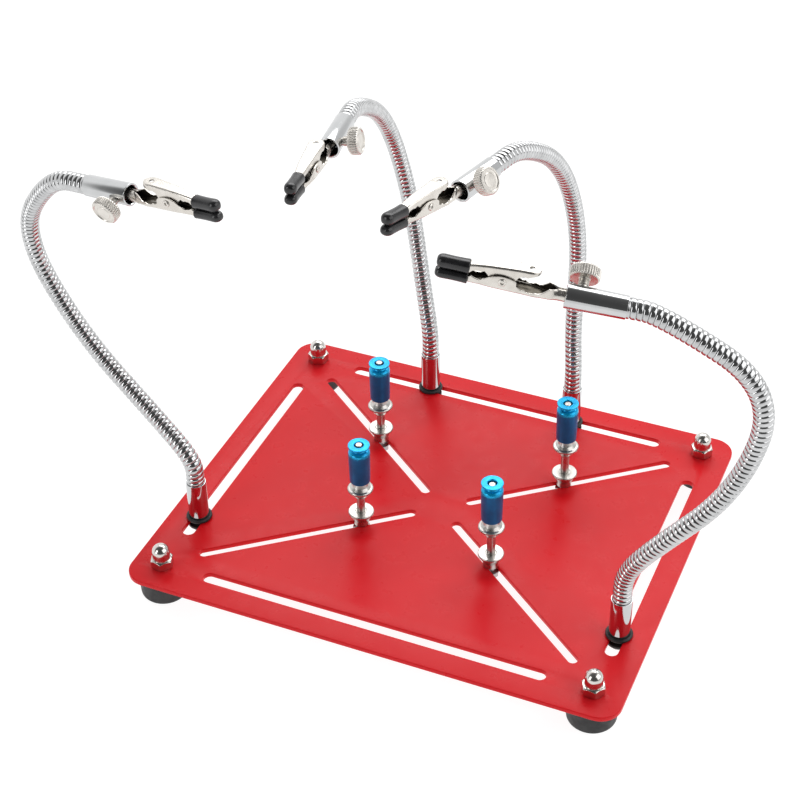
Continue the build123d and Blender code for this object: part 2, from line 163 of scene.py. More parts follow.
def refined(node, name, bevel, mat, segments=3, angle=32.0):
    """A CAD node's shape with its edges eased."""
    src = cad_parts[node]
    bm = bmesh.new()
    bm.from_mesh(src.data)
    bmesh.ops.remove_doubles(bm, verts=bm.verts, dist=2e-6)
    bmesh.ops.dissolve_limit(bm, angle_limit=math.radians(1.0), verts=bm.verts, edges=bm.edges)
    me = bpy.data.meshes.new(name)
    bm.to_mesh(me)
    bm.free()
    o = link(bpy.data.objects.new(name, me))
    me.materials.append(mat)
    if bevel:
        b = o.modifiers.new("ease", "BEVEL")
        b.width = bevel * MM
        b.segments = segments
        b.limit_method = "ANGLE"
        b.angle_limit = math.radians(angle)
        b.use_clamp_overlap = True
        b.harden_normals = False
        apply_mods(o)
    finish_shading(o.data, True, 40.0)
    return o


def done(o, body, nodes=()):
    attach(o, body)
    if nodes:
        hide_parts(*([nodes] if isinstance(nodes, str) else nodes))
    return o


# ------------------------------------------------------------------ materials
def material(name, color, metallic=0.0, rough=0.4, spec=0.5, coat=0.0, coat_rough=0.1, aniso=0.0):
    m = bpy.data.materials.new(name)
    m.use_nodes = True
    nt = m.node_tree
    bsdf = nt.nodes["Principled BSDF"]
    bsdf.inputs["Base Color"].default_value = (*color, 1)
    bsdf.inputs["Metallic"].default_value = metallic
    bsdf.inputs["Roughness"].default_value = rough
    bsdf.inputs["Specular IOR Level"].default_value = spec
    bsdf.inputs["Coat Weight"].default_value = coat
    bsdf.inputs["Coat Roughness"].default_value = coat_rough
    bsdf.inputs["Anisotropic"].default_value = aniso
    return m, nt, bsdf


def coords(nt, scale=(1, 1, 1)):
    tc = nt.nodes.new("ShaderNodeTexCoord")
    mp = nt.nodes.new("ShaderNodeMapping")
    mp.inputs["Scale"].default_value = scale
    nt.links.new(tc.outputs["Object"], mp.inputs["Vector"])
    return mp.outputs["Vector"]


def noise(nt, vec, scale, detail=4.0, rough=0.55, distortion=0.0):
    n = nt.nodes.new("ShaderNodeTexNoise")
    n.inputs["Scale"].default_value = scale
    n.inputs["Detail"].default_value = detail
    n.inputs["Roughness"].default_value = rough
    n.inputs["Distortion"].default_value = distortion
    nt.links.new(vec, n.inputs["Vector"])
    return n.outputs["Fac"]


def ramp(nt, fac, stops):
    r = nt.nodes.new("ShaderNodeValToRGB")
    els = r.color_ramp.elements
    els[0].position, els[0].color = stops[0][0], (*stops[0][1], 1)
    els[1].position, els[1].color = stops[-1][0], (*stops[-1][1], 1)
    for p, c in stops[1:-1]:
        e = els.new(p)
        e.color = (*c, 1)
    nt.links.new(fac, r.inputs["Fac"])
    return r.outputs["Color"]


def remap(nt, fac, lo, hi, a=0.3, b=0.7):
    n = nt.nodes.new("ShaderNodeMapRange")
    n.inputs["From Min"].default_value = a
    n.inputs["From Max"].default_value = b
    n.inputs["To Min"].default_value = lo
    n.inputs["To Max"].default_value = hi
    nt.links.new(fac, n.inputs["Value"])
    return n.outputs["Result"]


def bump(nt, bsdf, fac, strength, dist):
    b = nt.nodes.new("ShaderNodeBump")
    b.inputs["Strength"].default_value = strength
    b.inputs["Distance"].default_value = dist
    nt.links.new(fac, b.inputs["Height"])
    nt.links.new(b.outputs["Normal"], bsdf.inputs["Normal"])


def metal(name, dark, light, rough=(0.12, 0.24), scale=220.0, bump_scale=900.0, bump_strength=0.05, squash=(1, 1, 1), aniso=0.0):
    m, nt, bsdf = material(name, light, 1.0, rough[0], aniso=aniso)
    vec = coords(nt, squash)
    f = noise(nt, vec, scale, 5.0)
    nt.links.new(ramp(nt, f, [(0.3, dark), (0.7, light)]), bsdf.inputs["Base Color"])
    nt.links.new(remap(nt, noise(nt, vec, scale * 2.3, 4.0), rough[0], rough[1]), bsdf.inputs["Roughness"])
    bump(nt, bsdf, noise(nt, vec, bump_scale, 3.0), bump_strength, 0.0001)
    return m


def srgb(r, g, b):
    def f(c):
        c /= 255.0
        return c / 12.92 if c <= 0.04045 else ((c + 0.055) / 1.055) ** 2.4
    return (f(r), f(g), f(b))


# satin red plate
m_red, nt, bsdf = material("red_satin", srgb(214, 22, 30), 0.0, 0.3, spec=0.15)
vec = coords(nt)
f1 = noise(nt, vec, 9.0, 3.0)
nt.links.new(ramp(nt, f1, [(0.3, srgb(211, 18, 27)), (0.5, srgb(215, 22, 31)), (0.7, srgb(219, 27, 36))]), bsdf.inputs["Base Color"])
nt.links.new(remap(nt, noise(nt, vec, 160.0, 5.0), 0.25, 0.36), bsdf.inputs["Roughness"])
bump(nt, bsdf, noise(nt, vec, 2600.0, 3.0), 0.12, 0.00004)

m_chrome = metal("chrome", (0.52, 0.53, 0.535), (0.60, 0.605, 0.61), (0.05, 0.11), 90.0, 500.0, 0.02)
m_hose = metal("chrome_coil", (0.46, 0.465, 0.47), (0.60, 0.605, 0.61), (0.09, 0.18), 260.0, 900.0, 0.03)
m_nickel = metal("nickel_turned", (0.61, 0.585, 0.545), (0.73, 0.70, 0.655), (0.28, 0.42), 300.0, 1500.0, 0.05)
m_post = metal("nickel_satin", (0.47, 0.455, 0.43), (0.60, 0.58, 0.55), (0.25, 0.37), 300.0, 1500.0, 0.06)
m_nut = metal("nickel_nut", (0.56, 0.54, 0.51), (0.68, 0.66, 0.63), (0.12, 0.2), 200.0, 1100.0, 0.04)
m_sheet = metal("nickel_sheet", (0.60, 0.57, 0.525), (0.70, 0.67, 0.625), (0.2, 0.34), 240.0, 1300.0, 0.06)
# painted shade: a dark copy of the sheet nickel for the clips' inner faces, standing in for the shade inside the bent
# sheet
m_inside_painted_shade = metal("sheet_inside_painted_shade", (0.075, 0.066, 0.052), (0.15, 0.135, 0.11), (0.38, 0.55), 240.0, 1300.0, 0.06)
m_steel = metal("zinc_steel", (0.40, 0.40, 0.40), (0.55, 0.55, 0.54), (0.25, 0.42), 260.0, 1300.0, 0.08)
m_spring = metal("spring_wire", (0.20, 0.19, 0.17), (0.38, 0.36, 0.32), (0.25, 0.4), 400.0, 1500.0, 0.05)

m_rubber, nt, bsdf = material("black_rubber", (0.02, 0.02, 0.021), 0.0, 0.55, spec=0.4)
vec = coords(nt)
nt.links.new(ramp(nt, noise(nt, vec, 140.0, 5.0), [(0.3, (0.012, 0.012, 0.013)), (0.7, (0.035, 0.034, 0.035))]), bsdf.inputs["Base Color"])
nt.links.new(remap(nt, noise(nt, vec, 320.0, 4.0), 0.42, 0.68), bsdf.inputs["Roughness"])
bump(nt, bsdf, noise(nt, vec, 1500.0, 4.0), 0.25, 0.00008)

m_vinyl, nt, bsdf = material("black_vinyl", (0.012, 0.012, 0.013), 0.0, 0.2, spec=0.5)
vec = coords(nt)
nt.links.new(ramp(nt, noise(nt, vec, 200.0, 4.0), [(0.3, (0.008, 0.008, 0.009)), (0.7, (0.022, 0.022, 0.024))]), bsdf.inputs["Base Color"])
nt.links.new(remap(nt, noise(nt, vec, 420.0, 3.0), 0.14, 0.3), bsdf.inputs["Roughness"])
bump(nt, bsdf, noise(nt, vec, 520.0, 2.0), 0.18, 0.0001)

m_blue, nt, bsdf = material("blue_anodised", srgb(14, 112, 172), 0.6, 0.34, spec=0.5)
vec = coords(nt)
mp = coords(nt, (1, 1, 1))
w = nt.nodes.new("ShaderNodeTexWave")
w.wave_type = "BANDS"
w.bands_direction = "Z"
w.inputs["Scale"].default_value = 420.0
w.inputs["Distortion"].default_value = 0.4
nt.links.new(vec, w.inputs["Vector"])
nt.links.new(ramp(nt, noise(nt, vec, 180.0, 4.0), [(0.3, srgb(10, 102, 158)), (0.7, srgb(18, 122, 184))]), bsdf.inputs["Base Color"])
nt.links.new(remap(nt, noise(nt, vec, 500.0, 4.0), 0.3, 0.44), bsdf.inputs["Roughness"])
bump(nt, bsdf, w.outputs["Fac"], 0.12, 0.00008)

m_cyan, nt, bsdf = material("cyan_anodised", srgb(0, 168, 224), 0.55, 0.24, spec=0.5)
vec = coords(nt)
nt.links.new(ramp(nt, noise(nt, vec, 200.0, 4.0), [(0.3, srgb(0, 150, 208)), (0.7, srgb(6, 178, 230))]), bsdf.inputs["Base Color"])
nt.links.new(remap(nt, noise(nt, vec, 500.0, 4.0), 0.2, 0.34), bsdf.inputs["Roughness"])
bump(nt, bsdf, noise(nt, vec, 1500.0, 3.0), 0.05, 0.00004)


# ------------------------------------------------------------------ base plate
def rounded_rect(w, d, r, n=12):
    pts = []
    for cx, cy, a0 in ((w / 2 - r, d / 2 - r, 0), (-w / 2 + r, d / 2 - r, 90), (-w / 2 + r, -d / 2 + r, 180), (w / 2 - r, -d / 2 + r, 270)):
        for k in range(n + 1):
            a = math.radians(a0 + 90 * k / n)
            pts.append((cx + r * math.cos(a), cy + r * math.sin(a)))
    return pts


def slot_loop(x0, y0, x1, y1, w, n=14):
    """A slot between two tip points, overall length, width w."""
    a, b = Vector((x0, y0)), Vector((x1, y1))
    u = (b - a).normalized()
    r = w / 2
    a, b = a + u * r, b - u * r
    base = math.atan2(u.y, u.x)
    pts = []
    for c, s in ((b, -90), (a, 90)):
        for k in range(n + 1):
            t = base + math.radians(s + 180 * k / n)
            pts.append((c.x + r * math.cos(t), c.y + r * math.sin(t)))
    return pts


def circle_loop(x, y, r, n=32):
    return [(x + r * math.cos(2 * math.pi * k / n), y + r * math.sin(2 * math.pi * k / n)) for k in range(n)]


def flat_plate(name, outline, holes, z0, z1, bevel, mat):
    cu = bpy.data.curves.new(name, "CURVE")
    cu.dimensions = "2D"
    cu.fill_mode = "BOTH"
    cu.resolution_u = 1
    for loop in [outline] + holes:
        sp = cu.splines.new("POLY")
        sp.points.add(len(loop) - 1)
        for p, (x, y) in zip(sp.points, loop):
            p.co = (x * MM, y * MM, 0, 1)
        sp.use_cyclic_u = True
    cu.extrude = ((z1 - z0) / 2 - bevel) * MM
    cu.bevel_depth = bevel * MM
    cu.bevel_resolution = 3
    cu.offset = -bevel * MM
    tmp = link(bpy.data.objects.new(name + "_c", cu))
    bpy.context.view_layer.update()
    dg = bpy.context.evaluated_depsgraph_get()
    me = bpy.data.meshes.new_from_object(tmp.evaluated_get(dg))
    bpy.data.objects.remove(tmp)
    bpy.data.curves.remove(cu)
    o = link(bpy.data.objects.new(name, me))
    me.transform(Matrix.Translation((0, 0, (z0 + z1) / 2 * MM)))
    bm = bmesh.new()
    bm.from_mesh(me)
    bmesh.ops.remove_doubles(bm, verts=bm.verts, dist=1e-7)
    bmesh.ops.recalc_face_normals(bm, faces=bm.faces)
    bm.to_mesh(me)
    bm.free()
    me.materials.clear()
    me.materials.append(mat)
    finish_shading(me, True, 30.0)
    return o


holes = []
for s in (-1, 1):
    holes.append(slot_loop(s * 88.0, -52.9, s * 88.0, 52.9, 5.1))
    holes.append(slot_loop(-70.0, s * 71.6, 70.0, s * 71.6, 5.0))
for a in (38.15, 180 - 38.15, 180 + 38.15, -38.15):
    c, s = math.cos(math.radians(a)), math.sin(math.radians(a))
    holes.append(slot_loop(10.6 * c, 10.6 * s, 98.7 * c, 98.7 * s, 3.9))
for sx in (-1, 1):
    for sy in (-1, 1):
        holes.append(circle_loop(sx * 88.0, sy * 72.0, 2.65))
plate = flat_plate("plate", rounded_rect(200.0, 167.5, 8.5), holes, PLATE_BOTTOM, PLATE_TOP, 0.28, m_red)
done(plate, "base", "base_plate")

# ------------------------------------------------------------------ feet, nuts, screws
CORNERS = {"front_left": (-88.0, -72.0), "front_right": (88.0, -72.0), "back_left": (-88.0, 72.0), "back_right": (88.0, 72.0)}
foot_profile = rounded([(2.65, 11.0), (9.8, 11.0), (9.78, 10.4), (9.3, 0.0), (4.9, 0.0), (4.9, 4.6), (2.65, 4.6), (2.65, 11.0)], [0, 0.35, 0, 1.8, 0.5, 0.2, 0.1, 0], 6)
feet = mesh_obj("feet", *join_data([lathe_data(foot_profile, 96, Matrix.Translation((x, y, 0))) for x, y in CORNERS.values()]), m_rubber, sharp=50)
outward(feet)
done(feet, "base", "rubber_feet")

screws = refined("foot_screws", "foot_screws_v", 0.12, m_steel)
done(screws, "base", "foot_screws")


def hex_nut(turn, x, y):
    """A cap nut: chamfered hexagon with a domed cap."""
    seg, rows = 180, []
    cr = 4.0 / math.cos(math.pi / 6)
    def hexr(a):
        b = (a % (math.pi / 3)) - math.pi / 6
        return 4.0 / math.cos(b)
    zs = [0.0, 0.04, 0.1, 0.2, 0.35, 0.5, 0.7] + [0.7 + 2.2 * k / 4 for k in range(1, 5)] + [3.0, 3.15, 3.3, 3.45, 3.6, 3.72, 3.82, 3.88, 3.9]
    verts, faces = [], []
    for z in zs:
        low = 4.05 + 0.9 * z
        top = 3.95 + (3.9 - z) * 1.45
        for j in range(seg):
            a = 2 * math.pi * j / seg
            r = min(hexr(a + math.pi / 6), low, top)
            r = min(r, cr - 0.06)
            rows.append(r)
            verts.append((r * math.cos(a), r * math.sin(a), z))
    n = len(zs)
    for i in range(n - 1):
        for j in range(seg):
            k = (j + 1) % seg
            faces.append((i * seg + j, i * seg + k, (i + 1) * seg + k, (i + 1) * seg + j))
    place = Matrix.Translation((x, y, PLATE_TOP)) @ Matrix.Rotation(math.radians(turn), 4, "Z")
    body = ([(place @ Vector(v)) * MM for v in verts], faces)
    dome = [(3.95, 3.9), (3.72, 3.93), (3.5, 3.98), (3.46, 4.15), (3.45, 4.4)]
    dome += [(3.45, 5.5), (3.45, 6.95)]
    for k in range(1, 19):
        a = math.pi / 2 * k / 18
        dome.append((3.45 * math.cos(a), 6.95 + 3.45 * math.sin(a)))
    dome[-1] = (0.0, dome[-1][1])
    base = [(2.45, 0.0), (4.05, 0.0)]
    return [body, lathe_data(dome, 96, place), lathe_data([(2.45, 4.0), (2.45, 0.0), (4.05, 0.0)], 180, place)]


parts = []
for (k, (x, y)), turn in zip(CORNERS.items(), (20.0, 25.0, 52.0, 28.0)):
    parts += hex_nut(turn, x, y)
nuts = mesh_obj("cap_nuts_v", *join_data(parts), m_nut, sharp=24)
bm = bmesh.new(); bm.from_mesh(nuts.data); bmesh.ops.remove_doubles(bm, verts=bm.verts, dist=5e-6); bm.to_mesh(nuts.data); bm.free()
outward(nuts)
finish_shading(nuts.data, True, 24)
done(nuts, "base", "cap_nuts")

# ------------------------------------------------------------------ arms
POINTS = {
    "front_left": [(-88.0, -41.3, 0.0), (-88.0, -41.3, 29.3), (-104.8, -35.8, 40.0), (-140.7, -29.7, 69.5), (-160.9, -29.5, 112.3), (-136.5, -39.2, 146.2), (-98.1, -46.2, 151.2)],
    "back_left": [(-33.6, 71.6, 0.0), (-33.6, 71.6, 30.1), (-38.6, 77.0, 46.1), (-49.7, 88.9, 86.9), (-55.2, 77.8, 128.3), (-50.2, 39.1, 153.2), (-45.3, 4.9, 153.4)],
    "back_right": [(30.8, 71.6, 0.0), (30.8, 71.6, 29.2), (27.7, 77.6, 45.7), (27.7, 81.2, 89.6), (24.4, 63.4, 131.4), (18.9, 30.7, 154.0), (9.76, -6.06, 153.9)],
    "front_right": [(88.0, -41.3, 0.0), (88.0, -41.3, 30.2), (96.6, -45.1, 47.3), (124.6, -40.8, 81.0), (133.5, -39.9, 126.2), (93.9, -45.2, 149.5), (64.3, -52.8, 154.2)],
}
PIVOT = {"front_left": (-150.96, -29.6, 104.25), "back_left": (-52.45, 83.35, 120.6), "back_right": (26.01, 72.08, 124.01), "front_right": (129.05, -40.35, 116.6)}
CLIP_DIR = {"front_left": (0.961, -0.226, 0.159), "back_left": (0.121, -0.989, 0.083), "back_right": (-0.2535, -0.9585, 0.130), "front_right": (-0.955, -0.245, 0.170)}
CLIP_SHIFT = {"front_left": (0.0, 0.0, 0.0), "back_left": (-0.66, -0.11, 0.15), "back_right": (-0.437, 0.109, 0.45), "front_right": (0.0, 0.0, 0.0)}
THUMB_TIP = {"front_left": 2.7, "back_left": 2.1, "back_right": 2.2, "front_right": 2.7}
THUMB_TURN = {"front_left": 107.0, "back_left": 280.0, "back_right": 300.0, "front_right": 62.0}
COLLAR_LEN = 20.0
FERRULE_TOP = 18.5


def smooth_route(name, pts):
    """Points along the smooth line that the hose follows."""
    cu = bpy.data.curves.new(name, "CURVE")
    cu.dimensions = "3D"
    cu.resolution_u = 40
    sp = cu.splines.new("NURBS")
    sp.points.add(len(pts) - 1)
    for p, v in zip(sp.points, pts):
        p.co = (*v, 1)
    sp.order_u = 3
    sp.use_endpoint_u = True
    o = link(bpy.data.objects.new(name, cu))
    bpy.context.view_layer.update()
    me = bpy.data.meshes.new_from_object(o.evaluated_get(bpy.context.evaluated_depsgraph_get()))
    out = [v.co.copy() for v in me.vertices]
    bpy.data.objects.remove(o)
    bpy.data.curves.remove(cu)
    bpy.data.meshes.remove(me)
    return out


def frames_along(pts, step=0.25):
    """Even points with a frame that does not twist: (position, tangent, normal) lists in mm."""
    P = np.array([list(p) for p in pts])
    seg = np.linalg.norm(np.diff(P, axis=0), axis=1)
    keep = np.r_[True, seg > 1e-6]
    P = P[keep]
    s = np.r_[0, np.cumsum(np.linalg.norm(np.diff(P, axis=0), axis=1))]
    n = int(s[-1] / step) + 1
    t = np.linspace(0, s[-1], n)
    Q = np.stack([np.interp(t, s, P[:, i]) for i in range(3)], 1)
    # light smoothing of the sampled line keeps the tangent even
    T = np.gradient(Q, axis=0)
    T /= np.linalg.norm(T, axis=1)[:, None]
    for _ in range(6):
        T[1:-1] = (T[:-2] + 2 * T[1:-1] + T[2:]) / 4
        T /= np.linalg.norm(T, axis=1)[:, None]
    N = np.zeros_like(T)
    a = np.array([0.0, 1.0, 0.0]) if abs(T[0][1]) < 0.9 else np.array([1.0, 0.0, 0.0])
    N[0] = a - T[0] * a.dot(T[0])
    N[0] /= np.linalg.norm(N[0])
    for i in range(1, n):
        v = N[i - 1] - T[i] * N[i - 1].dot(T[i])
        N[i] = v / np.linalg.norm(v)
    return t, Q, T, N


def coil_hose(name, t, Q, T, N, s0, s1, mat, pitch=2.05, around=44):
    """A hose of wound band: one helical ridge with rounded crests and narrow furrows."""
    # crest height over one turn of the helix
    prof = [(0.00, -0.38), (0.045, -0.29), (0.10, -0.13), (0.19, -0.035), (0.33, 0.0), (0.50, 0.0), (0.66, -0.02), (0.80, -0.075), (0.90, -0.18), (0.955, -0.30)]
    P = len(prof)
    turns = int((s1 - s0) / pitch)
    pitch = (s1 - s0) / turns
    rows = turns * P
    S, A = [], []
    B = np.cross(T, N)
    verts = []
    for i in range(rows + 1):
        f, h = prof[i % P]
        turn = i // P
        for j in range(around):
            s = s0 + (turn + f + j / around) * pitch - pitch * 0.5
            s = min(max(s, s0 - 1.0), s1 + 1.0)
            a = 2 * math.pi * j / around
            q = [np.interp(s, t, Q[:, k]) for k in range(3)]
            idx = min(len(t) - 1, max(0, int(round(s / (t[1] - t[0])))))
            d = N[idx] * math.cos(a) + B[idx] * math.sin(a)
            r = 3.6 + h
            verts.append(Vector((q[0] + d[0] * r, q[1] + d[1] * r, q[2] + d[2] * r)) * MM)
    faces = []
    for i in range(rows):
        for j in range(around):
            a = i * around + j
            b = (i + 1) * around + j
            if j < around - 1:
                faces.append((a, a + 1, b + 1, b))
            elif i + P + 1 <= rows:
                faces.append((a, (i + P) * around, (i + P + 1) * around, b))
    o = mesh_obj(name, verts, faces, mat, sharp=80)
    outward(o)
    o.data.polygons.foreach_set("use_smooth", [True] * len(o.data.polygons))
    return o


def basis(origin, z, x=None):
    """4x4 in mm whose local z points along z."""
    z = Vector(z).normalized()
    if x is None:
        x = Vector((0, 0, 1)) if abs(z.z) < 0.9 else Vector((1, 0, 0))
    x = Vector(x)
    x = (x - z * x.dot(z)).normalized()
    y = z.cross(x)
    m = Matrix((x, y, z)).transposed().to_4x4()
    m.translation = Vector(origin)
    return m


def clip_frame(origin, f):
    f = Vector(f).normalized()
    side = Vector((0, 0, 1)).cross(f).normalized()
    top = f.cross(side)
    m = Matrix((f, side, top)).transposed().to_4x4()
    m.translation = Vector(origin)
    return m


def lerp_table(x, table):
    for (a, va), (b, vb) in zip(table, table[1:]):
        if x <= b:
            return va if b == a else va + (vb - va) * (x - a) / (b - a) if x > a else va
    return table[-1][1]


def thumb_data(place, tip, teeth=36):
    """Knurled thumb screw: straight ribs round the rim, a shallow dished face, a neck and a shank."""
    R, z0, z1 = 5.1, 6.9, 10.9
    sub = [(-0.5, 0.30), (-0.34, 0.26), (-0.2, 0.06), (-0.08, 0.0), (0.08, 0.0), (0.2, 0.06), (0.34, 0.26)]
    angles = []
    for k in range(teeth):
        for f, h in sub:
            angles.append((2 * math.pi * (k + f) / teeth, h))
    n = len(angles)
    # z, base radius, how much of the rib depth applies
    rows = [(z0, R - 0.62, 0.0), (z0 + 0.12, R - 0.40, 0.25), (z0 + 0.32, R - 0.2, 0.6), (z0 + 0.6, R - 0.04, 0.95), (z0 + 0.9, R, 1.0), (z1 - 0.9, R, 1.0), (z1 - 0.62, R - 0.03, 0.95), (z1 - 0.36, R - 0.18, 0.6), (z1 - 0.14, R - 0.38, 0.25), (z1, R - 0.62, 0.0)]
    verts, faces = [], []
    for z, r, g in rows:
        for a, h in angles:
            q = r - h * g
            verts.append(Vector((q * math.cos(a), q * math.sin(a), z)))
    for i in range(len(rows) - 1):
        for j in range(n):
            k = (j + 1) % n
            faces.append((i * n + j, i * n + k, (i + 1) * n + k, (i + 1) * n + j))
    head = ([(place @ v) * MM for v in verts], faces)
    face = rounded([(R - 0.62, z1), (R - 1.0, z1), (R - 1.25, z1 - 0.38), (2.75, z1 - 0.42), (2.5, z1 - 0.2), (0, z1 - 0.16)], [0, 0.12, 0.2, 0.15, 0.25, 0], 4)
    under = [(R - 0.62, z0), (2.6, z0 - 0.01), (2.0, z0 - 0.03), (1.84, z0 - 0.12)]
    z = z0 - 0.2
    while z > 4.86:
        under += [(1.8, z), (1.8, z - 0.1), (1.62, z - 0.2), (1.62, z - 0.26), (1.8, z - 0.36)]
        z -= 0.44
    under += rounded([(1.8, z), (1.5, z - 0.1), (1.5, tip + 0.4), (1.1, tip), (0, tip)], [0, 0.05, 0.1, 0.1, 0], 3)
    return join_data([head, lathe_data(face, n, place), lathe_data(under, n, place)])


for arm in ARMS:
    route = [Vector((x, y, z + PLATE_TOP)) for x, y, z in POINTS[arm]]
    base = route[0]
    mouth = route[-1]
    u = (mouth - route[-2]).normalized()
    # rubber ring, bushing and washer
    x, y = base.x, base.y
    z = PLATE_TOP
    ring = [(4.52 + 0.68 * math.cos(a), 0.74 + 0.68 * math.sin(a)) for a in [2 * math.pi * k / 24 for k in range(25)]]
    at = Matrix.Translation((x, y, z))
    bush = rounded([(1.6, 0.72), (4.1, 0.72), (4.3, 0.3), (4.25, 0.02), (2.25, 0.0), (2.25, -2.0), (4.8, -2.02), (4.8, -3.2), (1.6, -3.2), (1.6, 0.72)], [0, 0.1, 0.15, 0.1, 0.05, 0.05, 0.3, 0.3, 0, 0], 4)
    o = mesh_obj(f"{arm}_ring_v", *join_data([lathe_data(ring, 72, at), lathe_data(bush, 72, at)]), m_rubber, sharp=60)
    outward(o)
    done(o, f"{arm}_carriage", f"{arm}_grommet")
    o = refined(f"{arm}_clamp_screw", f"{arm}_clamp_screw_v", 0.1, m_steel)
    done(o, f"{arm}_carriage", f"{arm}_clamp_screw")
    # ferrule
    fp = rounded([(1.56, 0.8), (3.7, 0.8), (4.03, 1.0), (4.03, FERRULE_TOP), (3.66, FERRULE_TOP), (3.66, FERRULE_TOP - 3.0)], [0, 0.15, 0.15, 0.16, 0.12, 0], 5)
    o = mesh_obj(f"{arm}_ferrule_v", *lathe_data(fp, 96, at), m_chrome, sharp=60)
    done(o, f"{arm}_arm_lower", f"{arm}_ferrule")
    # hose
    ctrl = [route[0], route[0] + Vector((0, 0, 10)), route[0] + Vector((0, 0, FERRULE_TOP - 0.5))] + route[1:-1] + [mouth - u * (COLLAR_LEN - 1.0), mouth - u * 10.0, mouth]
    line = smooth_route(f"{arm}_route", [c for c in ctrl])
    t, Q, T, N = frames_along(line)
    total = t[-1]
    hose = coil_hose(f"{arm}_hose_v", t, Q, T, N, FERRULE_TOP - 3.0, total - COLLAR_LEN + 3.0, m_hose)
    pv = Vector(PIVOT[arm])
    k = int(np.argmin(np.linalg.norm(Q - np.array(pv), axis=1)))
    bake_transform(hose)
    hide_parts(f"{arm}_hose_lower", f"{arm}_hose_upper")
    # collar
    cp = rounded([(3.62, 0.0), (3.98, 0.0), (4.15, COLLAR_LEN), (3.55, COLLAR_LEN), (3.3, COLLAR_LEN - 0.35), (3.2, COLLAR_LEN - 1.2), (3.2, COLLAR_LEN - 13.0), (0.0, COLLAR_LEN - 13.0)], [0, 0.3, 0.22, 0.12, 0.1, 0.1, 0.05, 0], 5)
    back = mouth - u * COLLAR_LEN
    o = mesh_obj(f"{arm}_collar_v", *lathe_data(cp, 96, basis(back, u)), m_chrome, sharp=50)
    done(o, f"{arm}_arm_upper", f"{arm}_collar")
    # thumb screw
    e1 = (Vector((0, 0, 1)) - u * u.z).normalized()
    e2 = u.cross(e1)
    ang = math.radians(THUMB_TURN[arm])
    d = e1 * math.cos(ang) + e2 * math.sin(ang)
    o = mesh_obj(f"{arm}_thumb_screw_v", *thumb_data(basis(mouth - u * 5.0, d, u), THUMB_TIP[arm]), m_nickel, sharp=38)
    outward(o)
    done(o, f"{arm}_screw", f"{arm}_thumb_screw")

# ------------------------------------------------------------------ clips
SHEET = 0.5
PX, PZ = 20.6, 1.8
LOW_BOTTOM = [(-9, -2.2), (2.4, -2.15), (8.0, -1.6), (14.0, -1.35), (24.0, -1.3), (27.8, -1.5), (31.8, -2.1), (40.4, -2.15)]
LOW_TOP = [(-9, 1.2), (2.4, 1.2), (3.3, 2.3), (5.4, 2.3), (6.2, 1.5), (7.4, 0.5), (8.6, 0.1), (9.8, 0.3), (10.6, -0.1), (12.6, -0.1), (13.4, 0.5), (14.4, 0.3), (16.0, 1.1), (16.2, 2.6), (17.1, 3.3), (18.6, 3.7), (20.4, 3.9), (22.0, 3.8), (23.6, 3.35), (25.0, 2.6), (26.2, 1.6), (27.0, 1.3), (27.8, 0.4), (29.7, 0.5), (30.8, 0.9), (31.5, 0.1), (40.4, 0.1)]
LOW_HALF = [(-9, 2.2), (2.4, 2.2), (6.0, 2.5), (10.0, 3.3), (16.0, 3.35), (24.0, 3.25), (27.3, 2.7), (31.5, 1.75), (32.6, 1.35), (40.4, 1.25)]
UP_TOP = [(9.0, 7.8), (14.0, 7.5), (20.6, 6.8), (26.0, 6.1), (30.0, 5.3), (32.8, 4.45), (40.4, 4.2)]
UP_LOW = [(9.0, 6.6), (11.6, 5.9), (13.0, 5.2), (14.4, 5.4), (15.7, 4.7), (16.4, 3.4), (17.1, 2.0), (18.4, 0.3), (20.6, -0.45), (23.0, 0.0), (24.6, 1.3), (25.6, 2.9), (26.8, 3.9), (27.9, 3.3), (28.8, 3.5), (30.3, 3.2), (31.1, 2.4), (31.7, 1.75), (40.4, 1.9)]
UP_HALF = [(13.0, 2.98), (16.0, 2.72), (20.6, 2.5), (26.0, 2.2), (31.6, 1.7), (32.6, 1.35), (40.4, 1.25)]


def u_section(half, zf, zw, bend, n=6, flip=False):
    """Half of a bent sheet's section, from the middle of the web to the wall's free edge: (y, z) list. zf: web height, zw: wall's free edge."""
    s = 1 if zw > zf else -1
    b = min(bend, half * 0.95, abs(zw - zf) * 0.9)
    pts = [(0.0, zf), ((half - b) * 0.5, zf), (half - b, zf)]
    for k in range(1, n + 1):
        a = math.pi / 2 * k / n
        pts.append((half - b + b * math.sin(a), zf + s * (b - b * math.cos(a))))
    z1 = zf + s * b
    for k in range(1, 5):
        pts.append((half, z1 + (zw - z1) * k / 4))
    return pts


